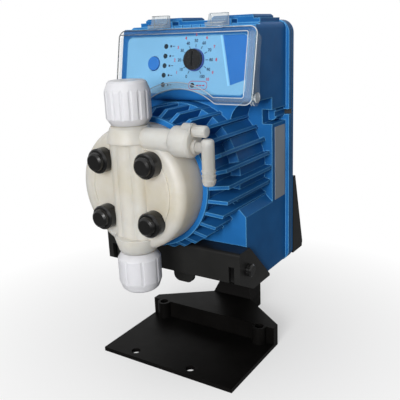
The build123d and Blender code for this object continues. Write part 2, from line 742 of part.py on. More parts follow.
def make_bolts():
    front = ring_front - head_depth
    bolts = []
    for x, z in bolt_places():
        shank = rod_y(bolt_r, front, ring_front + 11, x, z)
        top = rod_y(bolt_head_r, front - bolt_head_len, front, x, z)
        hexagon = Plane.XZ.offset(-front + bolt_head_len) * Pos(x, z) * RegularPolygon(2.2, 6)
        bolts.append(shank + top - extrude(hexagon, amount=-2.5))
    return bolts


def make_caps():
    front = ring_front - head_depth
    rim = front - cap_skirt
    nose = front - cap_height
    line = [(bolt_head_r, front), (cap_r, front), (cap_r, rim + 0.8), (cap_r - 0.8, rim), (cap_nose_r, rim),
            (cap_nose_r - 0.4, nose + 1), (cap_nose_r - 1.6, nose), (0, nose), (0, front - bolt_head_len),
            (bolt_head_r, front - bolt_head_len)]
    return [turned_y(line, x, z) for x, z in bolt_places()]


def valve_ring(low, high, bore_low, bore_high):
    """Round insert of a valve, with a bore that may widen upwards."""
    return turned([(bore_low, low), (seat_r, low), (seat_r, high), (bore_high, high)], valve_y)


def make_valve(base):
    """Seat and cage of a ball valve whose lower end is at height base."""
    seat = valve_ring(base, base + seat_len, channel_r, ball_r - 0.1)
    cage_low = base + seat_len
    cage_high = base + valve_len
    cage = valve_ring(cage_low, cage_high, ball_r + gap, ball_r + gap)
    stop_low = valve_ball_z(base) + ball_r + ball_lift + gap
    for i in range(3):
        bar = block(-ball_r - 1, 0, -0.6, 0.6, stop_low, cage_high)
        cage = cage + Pos(0, valve_y, 0) * Rot(0, 0, 120 * i) * bar
    return seat, cage


def valve_ball_z(base):
    """Height of the ball's centre when it lies on its seat."""
    return base + seat_len + sqrt(ball_r ** 2 - (ball_r - 0.1) ** 2) + gap


def make_ball(base):
    return Pos(0, valve_y, valve_ball_z(base)) * Sphere(ball_r)


def make_nipple(sign):
    """Hose nipple on the end of a valve boss, upwards for 1 and downwards for -1."""
    start = boss_top
    tip = boss_end_room()
    line = [(nipple_r - 0.8, start), (valve_boss_r - 1, start), (valve_boss_r - 1, start + 2.5),
            (nipple_r + 0.3, start + 2.5), (nipple_r, tip), (nipple_r - 0.8, tip)]
    return turned([(r, axis_z + sign * z) for r, z in line], valve_y)


def make_clamp_ring(sign):
    low = boss_top + 2.5
    high = boss_end_room()
    line = [(tube_r + 0.2, low), (valve_boss_r - 1.2, low), (valve_boss_r - 1.2, high), (tube_r + 0.1, high)]
    return turned([(r, axis_z + sign * z) for r, z in line], valve_y)


def boss_end_room():
    """Height of the nipple's tip, just short of a nut's end wall."""
    return nut_start + nut_height - nut_wall - gap


def make_nut(sign, height, grooves, depth):
    """Union nut, upwards for 1 and downwards for -1, with grooves or flats round it."""
    start = nut_start
    end = nut_start + height
    room = nut_start + nut_height - nut_wall
    line = [(valve_boss_r + slip, start), (nut_r - 2.6, start), (nut_r, start + 4), (nut_r, end - 6),
            (nut_r - 1.8, end - 1.2), (nut_r - 3.2, end), (tube_r + 0.05, end), (tube_r + 0.05, room),
            (valve_boss_r + slip, room)]
    nut = turned([(r, axis_z + sign * z) for r, z in line], valve_y)
    middle = axis_z + sign * (start + end) / 2
    for i in range(grooves):
        place = Pos(0, valve_y, middle) * Rot(0, 0, 360 / grooves * i) * Pos(nut_r + 1.5 - depth, 0, 0)
        nut = nut - place * Cylinder(1.5, height - 7)
    return nut


def make_vent_body():
    z = axis_z + vent_z
    end = vent_body_x + vent_body_len
    line = [(1.5, vent_body_x), (vent_r - 0.8, vent_body_x), (vent_r, vent_body_x + 1), (vent_r, end - 1.2),
            (vent_r - 1.2, end), (1.5, end)]
    face = Plane.XY * polygon([(x, r) for r, x in line])
    body = Pos(0, valve_y, z) * revolve(face, axis=Axis.X)
    screw_z = z + vent_screw_up
    body = body + rod_x(vent_screw_r + 1, end - 6, end, valve_y, screw_z)
    body = body - rod_x(vent_stem_r + slip, end - 7, end + 1, valve_y, screw_z)
    return body - rod_x(stub_r, end - 4, end + 1, valve_y, z - stub_drop)


def make_vent_screw():
    end = vent_body_x + vent_body_len
    z = axis_z + vent_z + vent_screw_up
    knob = rod_x(vent_screw_r, end + gap, end + vent_screw_len, valve_y, z)
    knob = chamfer(knob.edges().filter_by(GeomType.CIRCLE).sort_by(Axis.X)[-1:], 0.6)
    for i in range(8):
        groove = rod_x(0.4, end, end + vent_screw_len + 1, vent_screw_r + 0.1, 0)
        knob = knob - Pos(0, valve_y, z) * Rot(45 * i, 0, 0) * groove
    return knob + rod_x(vent_stem_r, end - 6, end + gap, valve_y, z)


def make_vent_tail():
    end = vent_body_x + vent_body_len
    stub_z = axis_z + vent_z - stub_drop
    tail = rod_z(tail_r, axis_z + tail_bottom, axis_z + tail_top, tail_x, valve_y)
    tail = fillet(tail.edges().filter_by(GeomType.CIRCLE), tail_r * 0.55)
    for i in range(3):
        z = axis_z + tail_bottom + 3 + 2.6 * i
        barb = turned([(tail_r - 1, z - 1.2), (tail_r, z - 1.2), (tail_r + 0.5, z + 0.6), (tail_r - 1, z + 1)], valve_y)
        tail = tail + Pos(tail_x, 0, 0) * barb
    stub = rod_x(stub_r, end - 4, tail_x, valve_y, stub_z)
    collar = rod_x(stub_r + 1.2, end, end + 2, valve_y, stub_z)
    passage = rod_x(1.2, end - 5, tail_x, valve_y, stub_z)
    bore = rod_z(1.2, axis_z + tail_bottom - 1, stub_z + 1.2, tail_x, valve_y)
    return tail + stub + collar - passage - bore


# ---------------------------------------------------------------- drive
def make_seat_plate():
    back = ring_front + seat_plate_thick
    recess = ring_front + diaphragm_thick + gap
    hub = diaphragm_hub_r + gap
    line = [(hub, back), (seat_plate_r, back), (seat_plate_r, ring_front), (diaphragm_r + gap, ring_front),
            (diaphragm_r + gap, recess), (hub, recess)]
    return turned_y(line, 0, axis_z)


def make_bush():
    low = ring_front + seat_plate_thick
    high = ring_front + front_wall
    line = [(rod_r + slip, low), (bush_r, low), (bush_r, high), (rod_r + slip, high)]
    return turned_y(line, 0, axis_z)


def make_diaphragm():
    front = ring_front
    back = ring_front + diaphragm_thick
    line = [(0, front), (8, front), (9.5, front + 0.6), (15, front + 0.6), (16.5, front), (diaphragm_r, front),
            (diaphragm_r, back), (diaphragm_hub_r, back), (diaphragm_hub_r, back + 1.5), (0, back + 1.5)]
    return turned_y(line, 0, axis_z)


def pole_end():
    return ring_front + front_wall + pole_len


def make_plunger():
    start = ring_front + diaphragm_thick + 1.5
    front = pole_end() + stroke + gap
    back = front + armature_len
    rod = rod_y(rod_r, start, front + 1, 0, axis_z)
    armature = rod_y(armature_r, front, back, 0, axis_z)
    armature = chamfer(armature.edges().filter_by(GeomType.CIRCLE), 0.6)
    return rod + armature


def make_pole():
    low = ring_front + front_wall
    high = pole_end()
    floor = high - spring_len()
    line = [(rod_r + gap, low), (armature_r, low), (armature_r, high), (spring_r + gap, high),
            (spring_r + gap, floor), (rod_r + gap, floor)]
    return turned_y(line, 0, axis_z)


def spring_len():
    """Depth of the spring's recess in the pole piece."""
    return pole_len / 2 + 2 * stroke


def make_spring():
    front = pole_end() - pole_len / 2
    back = pole_end() + stroke + gap
    turns = 6
    pitch = (back - front) / turns
    line = [(rod_r + gap, front)]
    for i in range(turns):
        line.append((spring_r, front + pitch * (i + 0.25)))
        line.append((spring_r, front + pitch * (i + 0.5)))
        line.append((spring_r - 0.8, front + pitch * (i + 0.75)))
    line.append((spring_r, back))
    line.append((rod_r + gap, back))
    return turned_y(line, 0, axis_z)


def make_yoke():
    low = ring_front + front_wall
    high = low + yoke_len
    inner = yoke_r - yoke_wall
    line = [(armature_r, low), (yoke_r, low), (yoke_r, high), (inner, high), (inner, low + yoke_wall),
            (armature_r, low + yoke_wall)]
    return turned_y(line, 0, axis_z)


def make_end_plate():
    high = ring_front + front_wall + yoke_len
    line = [(armature_r + slip, high - yoke_wall), (yoke_r - yoke_wall, high - yoke_wall),
            (yoke_r - yoke_wall, high), (armature_r + slip, high)]
    return turned_y(line, 0, axis_z)


def make_bobbin():
    low = ring_front + front_wall + yoke_wall
    high = ring_front + front_wall + yoke_len - yoke_wall
    rim = coil_r + 1.5
    bore = armature_r + gap
    line = [(bore, low), (rim, low), (rim, low + bobbin_rim), (bobbin_r, low + bobbin_rim),
            (bobbin_r, high - bobbin_rim), (rim, high - bobbin_rim), (rim, high), (bore, high)]
    return turned_y(line, 0, axis_z)


def make_coil():
    low = ring_front + front_wall + yoke_wall + bobbin_rim
    high = ring_front + front_wall + yoke_len - yoke_wall - bobbin_rim
    return turned_y([(bobbin_r, low), (coil_r, low), (coil_r, high), (bobbin_r, high)], 0, axis_z)


# ---------------------------------------------------------------- pieces
suction_base = axis_z - boss_top
discharge_base = axis_z + boss_top - valve_len
suction_seat, suction_cage = make_valve(suction_base)
discharge_seat, discharge_cage = make_valve(discharge_base)

pieces = {
    "base_foot": make_foot(),
    "cradle": make_cradle(),
    "wall_bracket": make_wall_bracket(),
    "cradle_screws": make_cradle_screws(),
    "clamp_screw_right": make_clamp_screw(1),
    "clamp_screw_left": make_clamp_screw(-1),
    "front_housing": make_housing(),
    "cover_gasket": make_gasket(),
    "rear_cover": make_rear_cover(),
    "rear_cover_screws": make_rear_screws(),
    "cable_gland": make_gland(),
    "signal_socket": make_socket(),
    "control_panel": make_panel(),
    "indicator_lamps": make_lamps(),
    "control_board": make_board(),
    "potentiometer": make_potentiometer(),
    "adjustment_knob": make_knob(),
    "start_button": make_button(),
    "clear_cover": make_cover(),
    "cover_pins": make_pins(),
    "pump_head": make_head(),
    "head_bolts": make_bolts(),
    "bolt_caps": make_caps(),
    "suction_seat": suction_seat,
    "suction_cage": suction_cage,
    "suction_ball": make_ball(suction_base),
    "suction_nipple": make_nipple(-1),
    "suction_clamp_ring": make_clamp_ring(-1),
    "suction_nut": make_nut(-1, low_nut_height, 8, 0.5),
    "discharge_seat": discharge_seat,
    "discharge_cage": discharge_cage,
    "discharge_ball": make_ball(discharge_base),
    "discharge_nipple": make_nipple(1),
    "discharge_clamp_ring": make_clamp_ring(1),
    "discharge_nut": make_nut(1, nut_height, 16, 0.55),
    "vent_body": make_vent_body(),
    "vent_screw": make_vent_screw(),
    "vent_tail": make_vent_tail(),
    "diaphragm_seat": make_seat_plate(),
    "diaphragm": make_diaphragm(),
    "rod_bush": make_bush(),
    "plunger": make_plunger(),
    "pole_piece": make_pole(),
    "return_spring": make_spring(),
    "solenoid_yoke": make_yoke(),
    "yoke_end_plate": make_end_plate(),
    "bobbin": make_bobbin(),
    "solenoid_coil": make_coil(),
}

os.makedirs("parts", exist_ok=True)
for name, shape in pieces.items():
    solid = Compound(children=shape) if isinstance(shape, list) else shape
    export_step(solid, f"parts/{name}.step")
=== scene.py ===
"""Looks, light and camera for the metering pump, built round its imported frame."""
import bpy
import bmesh
import json
from math import cos, radians, sin
from mathutils import Matrix, Vector


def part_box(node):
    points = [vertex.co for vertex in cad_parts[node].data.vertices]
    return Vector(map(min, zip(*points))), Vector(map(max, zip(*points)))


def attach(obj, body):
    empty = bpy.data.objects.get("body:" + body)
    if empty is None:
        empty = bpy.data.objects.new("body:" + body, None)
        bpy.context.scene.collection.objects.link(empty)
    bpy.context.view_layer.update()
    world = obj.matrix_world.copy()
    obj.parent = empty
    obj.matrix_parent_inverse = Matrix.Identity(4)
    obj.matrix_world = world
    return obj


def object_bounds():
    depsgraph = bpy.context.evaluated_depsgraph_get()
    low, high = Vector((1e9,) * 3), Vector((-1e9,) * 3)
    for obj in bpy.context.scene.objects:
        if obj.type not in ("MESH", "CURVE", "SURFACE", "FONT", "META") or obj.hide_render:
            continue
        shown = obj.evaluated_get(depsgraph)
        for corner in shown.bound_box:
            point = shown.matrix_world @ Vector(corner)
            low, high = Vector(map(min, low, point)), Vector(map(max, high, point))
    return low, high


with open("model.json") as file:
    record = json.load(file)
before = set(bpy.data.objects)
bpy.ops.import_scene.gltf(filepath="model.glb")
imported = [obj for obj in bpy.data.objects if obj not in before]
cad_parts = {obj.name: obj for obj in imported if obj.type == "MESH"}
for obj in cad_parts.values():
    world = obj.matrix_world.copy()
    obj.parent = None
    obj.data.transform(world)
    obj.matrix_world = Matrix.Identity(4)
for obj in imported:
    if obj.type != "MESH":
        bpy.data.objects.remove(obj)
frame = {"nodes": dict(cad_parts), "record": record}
cad_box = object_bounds()
nodes = frame["nodes"]
scene = bpy.context.scene
MM = 0.001

# ------------------------------------------------------------------ places read from the frame
dial_joint = next(j for j in frame["record"]["behaviour"]["joints"] if j["name"] == "stroke_rate_knob")
dial_centre = Vector(dial_joint["pos_m"])
panel_out = Vector(dial_joint["axis"]).normalized()
panel_right = Vector((1, 0, 0))
panel_up = panel_out.cross(panel_right)
part_top = cad_box[1][2]
CLIP_HEIGHT = 8.3 * MM             # of the cover's thick clips, down from its top
clip_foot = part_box("clear_cover")[1].z - CLIP_HEIGHT


# ------------------------------------------------------------------ node helpers
def socket(shader, name, value):
    shader.inputs[name].default_value = value


def new_material(name, rough, spec=0.5, coat=0.0):
    """A new material with its gloss set, and its node tree and shader."""
    mat = bpy.data.materials.new(name)
    mat.use_nodes = True
    shader = mat.node_tree.nodes["Principled BSDF"]
    socket(shader, "Roughness", rough)
    socket(shader, "Specular IOR Level", spec)
    socket(shader, "Coat Weight", coat)
    socket(shader, "Coat Roughness", COAT_ROUGH)
    return mat, mat.node_tree, shader


def feed(nt, values, node):
    """Link or set a node's inputs in order: each value is another node's output or a fixed value."""
    for value, target in zip(values, node.inputs):
        if isinstance(value, bpy.types.NodeSocket):
            nt.links.new(value, target)
        else:
            target.default_value = value


def maths(nt, operation, *values, clamp=False):
    node = nt.nodes.new("ShaderNodeMath")
    node.operation = operation
    node.use_clamp = clamp
    feed(nt, values, node)
    return node.outputs["Value"]


def vector_maths(nt, operation, *values):
    """Answer of a vector node, which is a number for a dot product or a length."""
    node = nt.nodes.new("ShaderNodeVectorMath")
    node.operation = operation
    feed(nt, values, node)
    return node.outputs["Value" if operation in ("DOT_PRODUCT", "LENGTH") else "Vector"]


def coords(nt, kind="Object"):
    return nt.nodes.new("ShaderNodeTexCoord").outputs[kind]


def along(nt, axis):
    """A point's place along X, Y or Z, in metres."""
    split = nt.nodes.new("ShaderNodeSeparateXYZ")
    nt.links.new(coords(nt), split.inputs[0])
    return split.outputs[axis]


def noise(nt, vector, scale, detail=4.0, rough=0.55):
    node = nt.nodes.new("ShaderNodeTexNoise")
    node.inputs["Scale"].default_value = scale
    node.inputs["Detail"].default_value = detail
    node.inputs["Roughness"].default_value = rough
    nt.links.new(vector, node.inputs["Vector"])
    return node.outputs["Fac"]


def ramp(nt, fac, stops):
    """Colour by a number from 0 to 1: stops are (place, colour), in order."""
    node = nt.nodes.new("ShaderNodeValToRGB")
    ends = node.color_ramp.elements
    ends[0].position, ends[0].color = stops[0][0], (*stops[0][1], 1)
    ends[1].position, ends[1].color = stops[-1][0], (*stops[-1][1], 1)
    for place, colour in stops[1:-1]:
        stop = ends.new(place)
        stop.color = (*colour, 1)
    nt.links.new(fac, node.inputs["Fac"])
    return node.outputs["Color"]


def value_range(nt, fac, low, high, from_low=0.0, from_high=1.0):
    node = nt.nodes.new("ShaderNodeMapRange")
    node.inputs["From Min"].default_value = from_low
    node.inputs["From Max"].default_value = from_high
    node.inputs["To Min"].default_value = low
    node.inputs["To Max"].default_value = high
    nt.links.new(fac, node.inputs["Value"])
    return node.outputs["Result"]


def bump(nt, shader, height, strength, distance):
    node = nt.nodes.new("ShaderNodeBump")
    node.inputs["Strength"].default_value = strength
    node.inputs["Distance"].default_value = distance
    nt.links.new(height, node.inputs["Height"])
    nt.links.new(node.outputs["Normal"], shader.inputs["Normal"])


# ------------------------------------------------------------------ colours
def shade(colour, share):
    return tuple(min(1.0, v * share) for v in colour)


def tones(colour, dark, light, middle=1.0):
    """Dark, middle and light tone of a colour, each given as a share of it."""
    return shade(colour, dark), shade(colour, middle), shade(colour, light)


def greys(*levels):
    return [(level,) * 3 for level in levels]


BLUE = (0.016, 0.130, 0.37)
# pale blue of the painted highlight along the housing's edges
HIGHLIGHT_BLUE = (0.13, 0.40, 0.66)
BLACK = (0.0035, 0.0032, 0.003)
BEAM_BLACK = (0.012, 0.012, 0.0115)
KNOB_BLACK = (0.004, 0.0035, 0.004)
CREAM_TONES = ((0.58, 0.52, 0.41), (0.64, 0.59, 0.51), (0.69, 0.65, 0.58))
WHITE = (0.66, 0.66, 0.70)
SKY = (0.19, 0.44, 0.68)
ROYAL = (0.024, 0.16, 0.50)
DIAL_BLUE = (0.05, 0.09, 0.33)
DARK_INK = (0.006, 0.02, 0.06)
RED_INK = (0.42, 0.02, 0.05)
LABEL_GREY = (0.34, 0.36, 0.38)
# greys of the clear plastic, from which its painted shade and painted reflection are made
COVER_TINT = (0.42, 0.50, 0.55)
PIN_TINT = (0.50, 0.56, 0.60)
LAMP_TONES = ((0.004, 0.012, 0.02), (0.006, 0.018, 0.03), (0.01, 0.03, 0.045))
PAINTED_TONES = ((0.10, 0.10, 0.11), (0.14, 0.14, 0.15), (0.18, 0.18, 0.19))
PTFE_TONES = ((0.74, 0.74, 0.72), (0.8, 0.8, 0.78), (0.85, 0.85, 0.83))
CERAMIC_TONES = ((0.80, 0.79, 0.75), (0.86, 0.85, 0.82), (0.9, 0.89, 0.86))
GREY_TONES = ((0.035, 0.037, 0.04), (0.05, 0.052, 0.056), (0.07, 0.072, 0.076))
BOARD_TONES = ((0.012, 0.08, 0.03), (0.02, 0.12, 0.045), (0.03, 0.16, 0.06))
STEEL_TONES = ((0.40, 0.40, 0.41), (0.55, 0.55, 0.56), (0.68, 0.68, 0.69))
BRONZE_TONES = ((0.42, 0.25, 0.09), (0.56, 0.36, 0.15), (0.68, 0.47, 0.22))
COPPER_TONES = ((0.42, 0.15, 0.06), (0.60, 0.24, 0.11), (0.74, 0.34, 0.18))
# painted shade and painted highlight of the cover's edge beads: grey, middle and bright
GLINT_TONES = ((0.05, 0.055, 0.06), (0.30, 0.34, 0.37), (0.75, 0.82, 0.87))

# ------------------------------------------------------------------ kinds of material
COAT_ROUGH = 0.18
CLOUD_SCALE = 38.0                 # noise scales, per metre
GLOSS_SCALE = 120.0
FINE_SCALE = 900.0
GRAIN_DEPTH = 0.2 * MM
STREAK_DEPTH = 0.1 * MM
WAVE_DEPTH = 0.6 * MM              # of the clear cover's uneven skin
HIGHLIGHT_WIDTH = 1.1 * MM               # painted highlight along the housing's edges
HIGHLIGHT_SHARE = 0.85                   # most that the painted highlight covers the plastic's own colour
HIGHLIGHT_TURN = (0.86, 0.995)           # cosine between softened and true normal: full highlight, no highlight
CLIP_DENSITY = 0.26                # added to the cover's opacity in its clips
KNOB_SKIRT_TOP = 1.55 * MM         # over the control panel
KNOB_SPLIT = 0.02 * MM             # half of the change from skirt to cap


def moulded(name, shades, rough, grain=0.12, grain_scale=FINE_SCALE, coat=0.0, rough_spread=0.08, spec=0.3):
    """Moulded plastic: soft clouds of its three tones, fine surface grain and uneven gloss."""
    mat, nt, shader = new_material(name, rough, spec, coat)
    where = coords(nt)
    dark, middle, light = shades
    clouds = noise(nt, where, CLOUD_SCALE, 5.0)
    colour = ramp(nt, clouds, [(0.3, dark), (0.5, middle), (0.72, light)])
    nt.links.new(colour, shader.inputs["Base Color"])
    patches = noise(nt, where, GLOSS_SCALE, 3.0)
    gloss = value_range(nt, patches, rough - rough_spread, rough + rough_spread)
    nt.links.new(gloss, shader.inputs["Roughness"])
    bump(nt, shader, noise(nt, where, grain_scale, 2.0), grain, GRAIN_DEPTH)
    return mat


def bright_edges(mat, highlight_colour):
    """Thin paler rim along a moulding's outer edges: a painted highlight where they would catch the light."""
    nt = mat.node_tree
    shader = nt.nodes["Principled BSDF"]
    bevel = nt.nodes.new("ShaderNodeBevel")
    bevel.samples = 6
    bevel.inputs["Radius"].default_value = HIGHLIGHT_WIDTH
    facet = nt.nodes.new("ShaderNodeNewGeometry")
    turn = vector_maths(nt, "DOT_PRODUCT", bevel.outputs["Normal"], facet.outputs["True Normal"])
    mix = nt.nodes.new("ShaderNodeMix")
    mix.data_type = "RGBA"
    colour = shader.inputs["Base Color"].links[0].from_socket
    nt.links.new(value_range(nt, turn, HIGHLIGHT_SHARE, 0.0, *HIGHLIGHT_TURN), mix.inputs["Factor"])
    nt.links.new(colour, mix.inputs["A"])
    mix.inputs["B"].default_value = (*highlight_colour, 1.0)
    nt.links.new(mix.outputs["Result"], shader.inputs["Base Color"])
    return mat


def translucent(mat, weight, radius):
    """Let light through a plastic: radius is how far its red, green and blue travel, in metres."""
    shader = mat.node_tree.nodes["Principled BSDF"]
    socket(shader, "Subsurface Weight", weight)
    socket(shader, "Subsurface Radius", radius)
    socket(shader, "Subsurface Scale", 1.0)
    return mat


def metal(name, shades, rough, grain_scale):
    """Worked metal: short streaks in its colour and gloss."""
    mat, nt, shader = new_material(name, rough)
    socket(shader, "Metallic", 1.0)
    dark, middle, light = shades
    streaks = noise(nt, coords(nt), grain_scale, 6.0, 0.7)
    nt.links.new(ramp(nt, streaks, [(0.3, dark), (0.5, middle), (0.7, light)]), shader.inputs["Base Color"])
    nt.links.new(value_range(nt, streaks, rough - 0.08, rough + 0.12), shader.inputs["Roughness"])
    bump(nt, shader, streaks, 0.15, STREAK_DEPTH)
    return mat


def clear_plastic(name, tint, face_alpha, wall_alpha, slope_alpha):
    """Clear plastic: its opacity follows how its surface leans from the control panel, and clips add to it;
    its colour is painted shade and painted reflection.
    """
    mat, nt, shader = new_material(name, 0.04)
    where = coords(nt)
    outward = coords(nt, "Normal")
    # painted shade and painted reflection: the colour turns dark where the surface faces left and up, bright
    # where it faces right and down
    lit_side = vector_maths(nt, "DOT_PRODUCT", outward, (panel_right - panel_up).normalized())
    cloudy = value_range(nt, noise(nt, where, 60.0), -0.1, 0.1)
    lean = value_range(nt, maths(nt, "ADD", lit_side, cloudy), 0.0, 1.0, -1.0, 1.0)
    colour = ramp(nt, lean, [(0.25, shade(tint, 0.25)), (0.5, tint), (0.75, shade(tint, 1.9))])
    nt.links.new(colour, shader.inputs["Base Color"])
    # the slopes, walls and clips are made denser, so that the painted colour shows there
    facing = maths(nt, "ABSOLUTE", vector_maths(nt, "DOT_PRODUCT", outward, panel_out))
    densities = [(0.0, wall_alpha), (0.45, slope_alpha), (0.80, slope_alpha), (0.97, face_alpha * 2),
                 (0.995, face_alpha)]
    skin = ramp(nt, facing, [(place, (alpha,) * 3) for place, alpha in densities])
    clips = value_range(nt, along(nt, "Z"), 0.0, CLIP_DENSITY, clip_foot, clip_foot + 1 * MM)
    nt.links.new(maths(nt, "ADD", skin, clips), shader.inputs["Alpha"])
    nt.links.new(value_range(nt, noise(nt, where, 25.0, 3.0), 0.02, 0.09), shader.inputs["Roughness"])
    bump(nt, shader, noise(nt, where, 45.0, 2.0), 0.06, WAVE_DEPTH)
    return mat


def knob_material():
    """Black cap on a blue skirt, split at the skirt's height over the panel."""
    mat, nt, shader = new_material("knob_two_tone", 0.22, 0.18)
    where = coords(nt)
    height = vector_maths(nt, "DOT_PRODUCT", vector_maths(nt, "SUBTRACT", where, dial_centre), panel_out)
    split = value_range(nt, height, 0.0, 1.0, KNOB_SKIRT_TOP - KNOB_SPLIT, KNOB_SKIRT_TOP + KNOB_SPLIT)
    nt.links.new(ramp(nt, split, [(0.0, DIAL_BLUE), (1.0, KNOB_BLACK)]), shader.inputs["Base Color"])
    nt.links.new(value_range(nt, noise(nt, where, 150.0), 0.16, 0.3), shader.inputs["Roughness"])
    bump(nt, shader, noise(nt, where, FINE_SCALE, 2.0), 0.05, GRAIN_DEPTH)
    return mat


# ------------------------------------------------------------------ materials of the CAD nodes
def assign(material, *names):
    for name in names:
        data = nodes[name].data
        if not data.materials:
            data.materials.append(material)
        for slot in nodes[name].material_slots:
            slot.material = material


# the housing's blue, with a painted highlight along its edges
housing_mat = bright_edges(moulded("housing_blue", tones(BLUE, 0.86, 1.14), rough=0.36, spec=0.05), HIGHLIGHT_BLUE)
foot_mat = moulded("foot_black", tones(BLACK, 0.7, 1.5), rough=0.4, grain=0.25, grain_scale=700.0, spec=0.05)
beam_mat = moulded("bracket_black", tones(BEAM_BLACK, 0.8, 1.3), rough=0.38, grain=0.2, grain_scale=700.0,
                   spec=0.2)
cream_mat = translucent(moulded("cream_plastic", CREAM_TONES, rough=0.42, grain=0.06),
                        weight=0.6, radius=(0.060, 0.050, 0.040))
white_mat = translucent(moulded("white_plastic", tones(WHITE, 0.94, 1.05), rough=0.34, grain=0.04),
                        weight=0.5, radius=(0.014, 0.014, 0.015))
trim_mat = moulded("trim_black", greys(0.005, 0.007, 0.012), rough=0.24, grain=0.04, rough_spread=0.06,
                   spec=0.35)
label_mat = moulded("label_blue", tones(SKY, 0.95, 1.05), rough=0.3, grain=0.02, spec=0.15)
button_mat = moulded("button_blue", tones(ROYAL, 0.9, 1.1, 1.02), rough=0.25, grain=0.05, spec=0.15)
lamp_mat = moulded("lamp_dark", LAMP_TONES, rough=0.15, grain=0.02, rough_spread=0.04, spec=0.2)
# the cover and its pins get painted shade and painted reflection in their colour
cover_mat = clear_plastic("clear_plastic", COVER_TINT, face_alpha=0.012, wall_alpha=0.14, slope_alpha=0.13)
pin_mat = clear_plastic("clear_pin", PIN_TINT, face_alpha=0.40, wall_alpha=0.30, slope_alpha=0.60)
steel_mat = metal("steel", STEEL_TONES, rough=0.3, grain_scale=420.0)
painted_mat = moulded("painted_steel", PAINTED_TONES, rough=0.45)
rubber_mat = moulded("seal_rubber", greys(0.015, 0.022, 0.03), rough=0.7, grain=0.3)
ptfe_mat = translucent(moulded("fluoropolymer", PTFE_TONES, rough=0.4, grain=0.03),
                       weight=0.3, radius=(0.004, 0.004, 0.004))
ceramic_mat = moulded("ceramic", CERAMIC_TONES, rough=0.15, grain=0.01, coat=0.4)
grey_mat = moulded("grey_plastic", GREY_TONES, rough=0.4)
board_mat = moulded("board_green", BOARD_TONES, rough=0.35, grain=0.2, grain_scale=350.0)
bronze_mat = metal("bronze", BRONZE_TONES, rough=0.35, grain_scale=380.0)
copper_mat = metal("copper", COPPER_TONES, rough=0.28, grain_scale=520.0)

assign(housing_mat, "front_housing", "rear_cover")
assign(foot_mat, "base_foot")
assign(beam_mat, "cradle", "wall_bracket")
assign(cream_mat, "pump_head", "vent_body", "vent_screw", "vent_tail", "suction_cage", "discharge_cage")
assign(white_mat, "suction_nut", "discharge_nut", "suction_nipple", "discharge_nipple",
       "suction_clamp_ring", "discharge_clamp_ring")
assign(trim_mat, "bolt_caps", "clamp_screw_right", "clamp_screw_left")
assign(knob_material(), "adjustment_knob")
assign(label_mat, "control_panel")
assign(button_mat, "start_button")
assign(lamp_mat, "indicator_lamps")
assign(cover_mat, "clear_cover")
assign(steel_mat, "cradle_screws", "rear_cover_screws", "head_bolts", "plunger", "pole_piece",
       "return_spring")
assign(pin_mat, "cover_pins")
assign(painted_mat, "solenoid_yoke", "yoke_end_plate")
assign(rubber_mat, "cover_gasket")
assign(ptfe_mat, "diaphragm", "diaphragm_seat", "suction_seat", "discharge_seat")
assign(ceramic_mat, "suction_ball", "discharge_ball")
assign(grey_mat, "cable_gland", "signal_socket", "bobbin", "potentiometer")
assign(board_mat, "control_board")
assign(bronze_mat, "rod_bush")
assign(copper_mat, "solenoid_coil")


# ------------------------------------------------------------------ making pieces
def add_piece(name, mesh, material, body="pump"):
    piece = bpy.data.objects.new(name, mesh)
    scene.collection.objects.link(piece)
    mesh.materials.append(material)
    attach(piece, body)


def built_mesh(name, bm):
    """Mesh of what was built, which is then let go."""
    mesh = bpy.data.meshes.new(name)
    bm.to_mesh(mesh)
    bm.free()
    return mesh


def curve_mesh(name, curve):
    """Mesh of a curve or text, which is then let go."""
    holder = bpy.data.objects.new(name, curve)
    scene.collection.objects.link(holder)
    bpy.context.view_layer.update()
    mesh = bpy.data.meshes.new_from_object(holder)
    bpy.data.objects.remove(holder)
    bpy.data.curves.remove(curve)
    return mesh


# ------------------------------------------------------------------ printed label
# sizes in mm, and places in mm from the dial's centre
PRINT_LOW, PRINT_HIGH = 0.01, 0.05                     # in front of the panel
NUMBER_OUT, NUMBER_HALF_THICK = 0.035, 0.015
NUMBER_SIZE, NUMBER_BOLD = 2.7, 0.07
LINE_WIDE = 0.45
LABEL_MARGIN = 0.1
LABEL_RIGHT = (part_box("control_panel")[1].x - dial_centre.x) / MM - LABEL_MARGIN
LABEL_TOP = 15.1

BAND_TOP_X, BAND_FOOT_X = 19.5, 27.0                   # slanted left side of the darker band
BAND_LOW_LEFT, BAND_LOW_RIGHT = -15.5, -12.0
BAND_ROUND = 3.9
STRIPE_SHIFT, STRIPE_WIDE = -1.9, 1.1                  # pale stripe along that side
STRIPE_LOW_LEFT, STRIPE_LOW_RIGHT = -15.9, -15.7

DIAL_STEPS = 11
DIAL_SPAN = 300.0                                      # degrees
TICK_IN, TICK_OUT = 7.9, 9.9
INNER_R, OUTER_R = 12.0, 15.8                          # the two rings of numbers
LAST_SHIFT = 10.0                                      # degrees, clears the lamp frame

LAMPS = 5                                              # in the slightly slanted row
LAMP_X, LAMP_UP, LAMP_PITCH, LAMP_DRIFT = -23.2, 8.9, 6.2, 0.25
SQUARE_GAP, SQUARE = 3.9, 1.3                          # marks beside each lamp
DASH_GAP, DASH = 6.1, 1.6

FRAMED_X, FRAMED_UP = -1.0, -15.9                      # lamp with a frame round it
FRAME_LEFT, FRAME_RIGHT, FRAME_R, FRAME_WIDE = -0.2, 8.6, 2.8, 0.35
FRAME_DASHES, FRAME_DASH_GAP, FRAME_DASH_PITCH = 3, 3.9, 2.3
FRAME_DASH, FRAME_DASH_WIDE = 1.5, 0.7


def on_panel(x, up, out):
    """Point x mm right of, up mm above and out mm in front of the dial's centre."""
    return dial_centre + (panel_right * x + panel_up * up + panel_out * out) * MM


def on_ring(r, angle):
    return r * cos(radians(angle)), r * sin(radians(angle))


